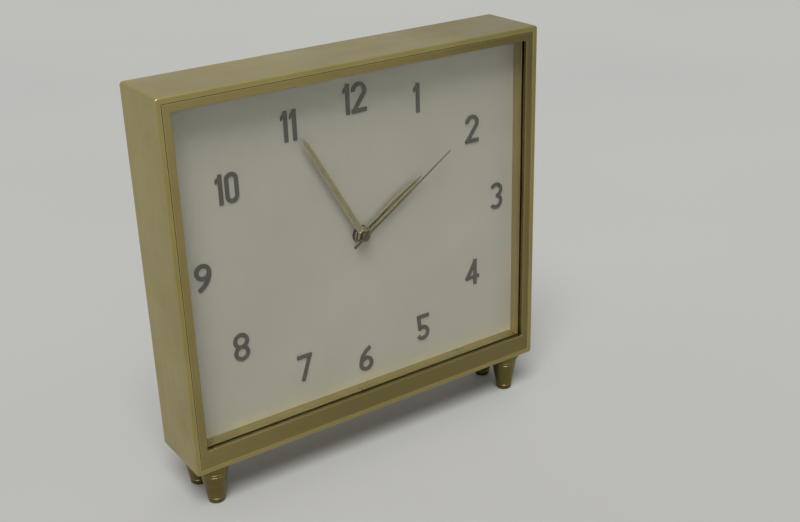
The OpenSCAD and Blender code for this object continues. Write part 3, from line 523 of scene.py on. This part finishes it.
SLOTS = {
    "brass": BRASS, "brass_satin": BRASS_SHEET, "glass": GLASS, "dial_silver": DIAL, "numeral_black": INK,
    "gilt": GILT, "steel": STEEL, "black_plastic": BLACK, "white_plastic": WHITE, "knob_plastic": KNOB,
    "magnet": MAGNET, "iron": IRON, "copper_wire": COPPER, "circuit_board": BOARD, "chip_resin": RESIN,
    "contact_metal": SPRING, "battery_jacket": JACKET,
}


def finish_nodes():
    """Gives every CAD node the material of its slot."""
    for part in frame["record"]["subparts"]:
        materials = NODES[part["node"]].data.materials
        materials.clear()
        materials.append(SLOTS[part["material_slot"]])


# Case


def opening_of(node):
    """Rectangle of the opening in a CAD frame, from its points off the outer sides."""
    off_side = 1
    points = [v.co / MM for v in NODES[node].data.vertices]
    low, high = span(node)
    inside = [p for p in points if low.x + off_side < p.x < high.x - off_side]
    across, upward = [p.x for p in inside], [p.z for p in inside]
    return (min(across), max(across), min(upward), max(upward))


def case_pieces():
    """Case shell, front rim and the reveal between glass and dial."""
    fit = 0.1
    outer = (band_low.x, band_high.x, band_low.z, band_high.z)
    inner = (bezel_low.x - fit, bezel_high.x + fit, bezel_low.z - fit, bezel_high.z + fit)
    frame_piece(
        "case_shell", outer, inner, FRONT_Y, BACK_Y, (0.45, 0.2), (1.2, 0.1), BRASS, ("case_band",)
    )
    opening = opening_of("front_bezel")
    rim = (bezel_low.x, bezel_high.x, bezel_low.z, bezel_high.z)
    frame_piece(
        "front_rim", rim, opening, bezel_low.y, bezel_high.y, (0.15, 0.5), (0.15, 0.1), BRASS_RIM,
        ("front_bezel",),
    )
    frame_piece(
        "reveal", rim, opening, surround_low.y, surround_high.y, (0.1, 0.12), (0.1, 0.1), BRASS_REVEAL,
        ("dial_surround",),
    )


def foot_piece(name):
    """Turned foot: a tapered leg with three grooves, a collar with one, and a spigot through the band."""
    low, high = span(name)
    centre = ((low.x + high.x) / 2, (low.y + high.y) / 2)
    top_r = (high.x - low.x) / 2
    tip_r = top_r / 2
    neck_r = top_r - 0.75
    spigot_r = 1.5
    top_z = band_low.z
    collar_z = top_z - 1.2
    tip = Vector((tip_r, 0.35))
    flank = Vector((neck_r, collar_z - 0.7)) - tip
    groove_depth, groove_height = 0.16, 0.44

    profile = [(0, 0.3), (tip_r - 1.0, 0.3), (tip_r - 0.8, 0), (tip_r - 0.25, 0), tuple(tip)]
    for share in (0.12, 0.82, 0.9):
        r, z = tip + flank * share
        profile += [
            (r, z), (r - groove_depth, z + 0.14), (r - groove_depth, z + 0.3),
            (r + flank.x / flank.y * groove_height, z + groove_height),
        ]
    profile += [
        (neck_r, collar_z - 0.7), (neck_r, collar_z - 0.3), (top_r - 0.1, collar_z - 0.1),
        (top_r, collar_z + 0.1), (top_r, top_z - 0.35), (top_r - 0.12, top_z - 0.3),
        (top_r - 0.12, top_z - 0.15), (top_r, top_z - 0.1), (top_r, top_z), (spigot_r, top_z),
        (spigot_r, high.z), (0, high.z),
    ]
    bm = bmesh.new()
    lathe(bm, rounded_profile(profile, 0.08, 3), centre, "Z", 72)
    add_piece(name + "_turned", bm, BRASS_TURNED, "case", (name,))


# Hands


def blade(bm, stations, angle, y0, y1, ridge):
    """Blade of a hand with a ridge along its middle. stations holds (distance from the hub, half width)."""
    turn = Matrix.Rotation(math.radians(angle), 3, "Y")
    shoulder, crest_share = 0.35, 0.12
    edge = y0 + (y1 - y0) * shoulder
    top = y0 - ridge
    rings = []
    for along, half in stations:
        crest = half * crest_share
        section = [(-half, y1), (-half, edge), (-crest, top), (crest, top), (half, edge), (half, y1)]
        rings.append([turn @ Vector((u, y, along)) + Vector((0, 0, hub_z)) for u, y in section])
    loft(bm, rings)


def ring_boss(bm, bore, radius, y0, y1, edge, steps=48):
    """Ring round the hub with rounded edges."""
    outline = [(bore, y1), (bore, y0), (radius, y0), (radius, y1)]
    profile = rounded_profile(outline + [outline[0]], edge)
    rings = []
    turns = [2 * math.pi * k / steps for k in range(steps)]
    for r, y in profile[:-1]:
        rings.append([Vector((r * math.cos(a), y, hub_z + r * math.sin(a))) for a in turns])
    loft(bm, rings, closed=True)


def tip_of(node):
    """Angle from the top, in degrees clockwise, and distance of a hand's far end."""
    points = [Vector((v.co.x / MM, v.co.z / MM - hub_z)) for v in NODES[node].data.vertices]
    far = max(points, key=lambda p: p.length)
    return math.degrees(math.atan2(far.x, far.y)), far.length


def flat_hand(node, body, stations, bore, radius):
    """Ridged hand on a ring round the hub. stations holds (share of the reach, half width)."""
    ridge, boss_rise, boss_edge = 0.12, 0.1, 0.15
    low, high = span(node)
    angle, reach = tip_of(node)
    bm = bmesh.new()
    blade(bm, [(reach * share, half) for share, half in stations], angle, low.y, high.y, ridge)
    ring_boss(bm, bore, radius, low.y - boss_rise, high.y, boss_edge)
    add_piece(node + "_blade", bm, GILT, body, (node,))


def hand_pieces():
    """Hour and minute hand, and the second hand's needle with its cap."""
    hour = [(0.07, 1.3), (0.58, 1.8), (0.8, 1.19), (1, 0.12)]
    flat_hand("hour_hand", "hour_hand", hour, 2.02, 3.3)
    minute = [(0.03, 1.19), (0.5, 1.125), (0.93, 0.975), (1, 0.12)]
    flat_hand("minute_hand", "minute_hand", minute, 1.12, 2.8)

    needle_depth, needle_ridge = 0.4, 0.05
    low, high = span("second_hand")
    angle, reach = tip_of("second_hand")
    needle = [(-5.85, 0.585), (-3, 0.52), (0, 0.45), (reach * 0.6, 0.34), (reach, 0.225)]
    cap = [
        (0, low.y), (0.75, low.y), (1.25, low.y + 0.12), (1.6, low.y + 0.3), (1.65, high.y - 0.1),
        (1.55, high.y), (0, high.y),
    ]
    bm = bmesh.new()
    blade(bm, needle, angle, high.y - needle_depth, high.y, needle_ridge)
    lathe(bm, rounded_profile(cap, 0.1), HUB, "Y", 48)
    add_piece("second_hand_needle", bm, BRONZE, "second_hand", ("second_hand",))


# Back of the movement

# Raised details start a little inside the shell
RAISED_FROM = back_high.y - 0.05
RAISED_TO = back_high.y + 0.3
BAY_TOP = battery_high.z + 2.4


def raised(points, y):
    """The points (x, z) at height y."""
    return [Vector((x, y, z)) for x, z in points]


def arc_arrow(name, centre, radius, start, end):
    """Raised arrow along an arc, which shows a way to turn."""
    half, crown = 0.22, 0.154
    head_half, head_length = 0.75, 1.5
    steps = 20
    bm = bmesh.new()
    rings = []
    for k in range(steps + 1):
        a = math.radians(start + (end - start) * k / steps)
        out = Vector((math.cos(a), math.sin(a)))
        section = [centre + out * (radius + d) for d in (-half, -crown, crown, half)]
        heights = (RAISED_FROM, RAISED_TO, RAISED_TO, RAISED_FROM)
        rings.append([Vector((p.x, y, p.y)) for p, y in zip(section, heights)])
    loft(bm, rings)
    way = 1 if end > start else -1
    along = Vector((-out.y, out.x)) * way
    base = centre + out * radius
    head = [base + out * head_half, base - out * head_half, base + along * head_length]
    loft(bm, [raised(head, RAISED_FROM), raised(head, RAISED_TO)])
    add_piece(name, bm, BLACK, "case")


def bar(bm, x0, x1, z0, z1, slope=0.15):
    """Raised bar with sloping sides and a small bevel."""
    rect, bevel, steps = (x0, x1, z0, z1), 0.06, 3
    loft(bm, [
        rect_ring(rect, 0, 0.1, RAISED_FROM, steps),
        rect_ring(rect, slope * 0.5, 0.1, RAISED_TO - bevel, steps),
        rect_ring(rect, slope, 0.08, RAISED_TO, steps),
    ])


def turning_arrows():
    """Two arrows beside the setting knob."""
    radius = 7.2
    knob = Vector(((knob_low.x + knob_high.x) / 2, (knob_low.z + knob_high.z) / 2))
    arc_arrow("turn_arrow_upper", knob, radius, 25, 100)
    arc_arrow("turn_arrow_side", knob, radius, 140, 212)


def movement_ribs():
    """Raised line round the back of the movement above the battery."""
    width, side_gap, top_gap = 0.6, 1.2, 1.6
    x0, x1 = back_low.x + side_gap, back_high.x - side_gap
    half = width / 2
    bm = bmesh.new()
    for z in (BAY_TOP, back_high.z - top_gap):
        bar(bm, x0, x1, z - half, z + half)
    for x in (x0, x1 - width):
        bar(bm, x, x + width, BAY_TOP + half, back_high.z - top_gap - half)
    add_piece("movement_ribs", bm, BLACK, "case")


def movement_panel():
    """Low raised frame with nothing in it."""
    panel, radius = (-22, 8, hub_z + 7, hub_z + 22), 1.6
    below_top = RAISED_TO - 0.05
    section = (
        (0, RAISED_FROM), (0.15, below_top), (0.2, RAISED_TO), (0.65, RAISED_TO), (0.7, below_top),
        (0.85, RAISED_FROM),
    )
    bm = bmesh.new()
    loft(bm, [rect_ring(panel, inset, radius - inset, y) for inset, y in section], closed=True)
    add_piece("movement_panel", bm, BLACK, "case")


def polarity_signs():
    """Plus over the battery's raised end, which is at +X, and minus over its flat end."""
    x, z = 24.2, BAY_TOP + 2.2
    long, thin, slope = 1.1, 0.22, 0.08
    bm = bmesh.new()
    bar(bm, x - long, x + long, z - thin, z + thin, slope)
    bar(bm, x - thin, x + thin, z - long, z + long, slope)
    bar(bm, -x - long, -x + long, z - thin, z + thin, slope)
    add_piece("polarity_signs", bm, BLACK, "case")


def battery_pieces():
    """Battery: a jacket with rolled ends, and the raised end that is its positive pole."""
    centre = ((battery_low.y + battery_high.y) / 2, (battery_low.z + battery_high.z) / 2)
    r = (battery_high.y - battery_low.y) / 2
    cap_r = 2.75
    left, right = battery_low.x, battery_high.x
    body_end = right - 1.5
    jacket = [
        (0, left + 0.5), (4.6, left + 0.5), (4.9, left + 0.15), (5.6, left + 0.15), (5.9, left + 0.45),
        (6.2, left), (r - 0.45, left), (r, left + 0.5), (r, body_end - 0.5), (r - 0.5, body_end),
        (5.1, body_end), (4.9, body_end - 0.35), (0, body_end - 0.35),
    ]
    bm = bmesh.new()
    lathe(bm, rounded_profile(jacket, 0.2), centre, "X", 96)
    add_piece("battery_jacket", bm, JACKET, "battery", ("battery",))
    cap = [
        (0, body_end - 0.4), (4.7, body_end - 0.4), (4.7, body_end - 0.1), (cap_r, body_end + 0.05),
        (cap_r, right - 0.3), (cap_r - 0.35, right), (0, right),
    ]
    bm = bmesh.new()
    lathe(bm, rounded_profile(cap, 0.15), centre, "X")
    add_piece("battery_cap", bm, SPRING, "battery")


def softened_pieces():
    """CAD nodes whose shapes are right, with rounded edges."""
    softened("back_cover_sheet", "back_cover", 0.18, BRASS_SHEET)
    softened("cover_screw_heads", "cover_screws", 0.08, STEEL)
    softened("corner_post_bars", "corner_posts", 0.25, BRASS_SHEET)
    softened("movement_back_shell", "movement_back", 0.15, BLACK)
    softened("movement_front_shell", "movement_front", 0.12, BLACK)
    softened("setting_knob_ribbed", "setting_knob", 0.07, KNOB, "setting_knob")
    softened("contact_plus_leaf", "contact_positive", 0.06, SPRING)
    softened("contact_minus_leaf", "contact_negative", 0.06, SPRING)
    for n in range(1, 13):
        softened("numeral_%d_applied" % n, "numeral_%d" % n, 0.09, INK)


# Room


def pale_floor():
    """Pale matt floor with a very faint cloudiness."""
    half_side = 4.0
    bm = bmesh.new()
    bmesh.ops.create_grid(bm, x_segments=1, y_segments=1, size=half_side)
    mesh = bpy.data.meshes.new("floor")
    bm.to_mesh(mesh)
    bm.free()
    floor = bpy.data.objects.new("floor", mesh)
    bpy.context.scene.collection.objects.link(floor)
    shade = Shade("pale_floor", (0.49, 0.495, 0.485), 0.75)
    clouds = shade.spread(shade.noise(420, 2), 0, 1)
    shade.colour(shade.tint(clouds, (0.5, 0.505, 0.495), (0.475, 0.475, 0.47)))
    mesh.materials.append(shade.material)


def key_lamp():
    """Soft lamp from the upper left, in front of the clock."""
    shines_towards = Vector((0.28, 0.4, -0.87))
    data = bpy.data.lights.new("key", "SUN")
    data.angle = math.radians(30)
    data.energy = 2.3
    light = bpy.data.objects.new("key", data)
    light.rotation_mode = "QUATERNION"
    light.rotation_quaternion = shines_towards.to_track_quat("-Z", "Y")
    bpy.context.scene.collection.objects.link(light)


def surroundings():
    """Even light all round. The camera, metal and glass see a pale room, a little paler overhead."""
    level, overhead = (0.49, 0.495, 0.485), (0.63, 0.635, 0.625)
    world = bpy.data.worlds.new("studio")
    bpy.context.scene.world = world
    world.use_nodes = True
    nodes, links = world.node_tree.nodes, world.node_tree.links
    nodes.clear()
    output = nodes.new("ShaderNodeOutputWorld")
    mix = nodes.new("ShaderNodeMixShader")
    path = nodes.new("ShaderNodeLightPath")
    seen = path.outputs["Is Camera Ray"]
    for kind in ("Is Glossy Ray", "Is Transmission Ray"):
        seen = larger_of(nodes, links, seen, path.outputs[kind])
    lighting = nodes.new("ShaderNodeBackground")
    lighting.inputs["Color"].default_value = (1.0, 0.98, 0.93, 1)
    lighting.inputs["Strength"].default_value = 0.38
    shown = nodes.new("ShaderNodeBackground")
    shown.inputs["Strength"].default_value = 1.0
    direction = nodes.new("ShaderNodeTexCoord")
    split = nodes.new("ShaderNodeSeparateXYZ")
    links.new(direction.outputs["Generated"], split.inputs[0])
    links.new(colour_mix(nodes, links, split.outputs["Z"], level, overhead), shown.inputs["Color"])
    links.new(seen, mix.inputs[0])
    links.new(lighting.outputs[0], mix.inputs[1])
    links.new(shown.outputs[0], mix.inputs[2])
    links.new(mix.outputs[0], output.inputs["Surface"])


def camera():
    """Camera found from the case's corners in the photograph. Its place is in widths of the case, from the
    middle of the case's lower front edge."""
    yaw, pitch, roll = (math.radians(a) for a in (34.111, 23.828, -1.6946))
    place = Vector((-1.36794, -2.13414, 1.52338))
    focal_px, photo_px = 1168.7, 800
    width = (band_high.x - band_low.x) * MM
    forward = Vector((math.sin(yaw) * math.cos(pitch), math.cos(yaw) * math.cos(pitch), -math.sin(pitch)))
    level = Vector((math.cos(yaw), -math.sin(yaw), 0))
    up = level.cross(forward)
    right = level * math.cos(roll) + up * math.sin(roll)
    above = up * math.cos(roll) - level * math.sin(roll)
    data = bpy.data.cameras.new("camera")
    data.sensor_width = 36
    data.lens = data.sensor_width * focal_px / photo_px
    data.clip_start = 0.01
    eye = bpy.data.objects.new("camera", data)
    eye.matrix_world = Matrix((right, above, -forward)).transposed().to_4x4()
    eye.location = place * width + Vector((0, FRONT_Y, band_low.z)) * MM
    bpy.context.scene.collection.objects.link(eye)
    bpy.context.scene.camera = eye


finish_nodes()
case_pieces()
for corner in ("front_left", "front_right", "rear_left", "rear_right"):
    foot_piece("foot_" + corner)
hand_pieces()
softened_pieces()
turning_arrows()
movement_ribs()
movement_panel()
polarity_signs()
battery_pieces()
pale_floor()
key_lamp()
surroundings()
camera()

bpy.context.scene.view_settings.view_transform = "Standard"
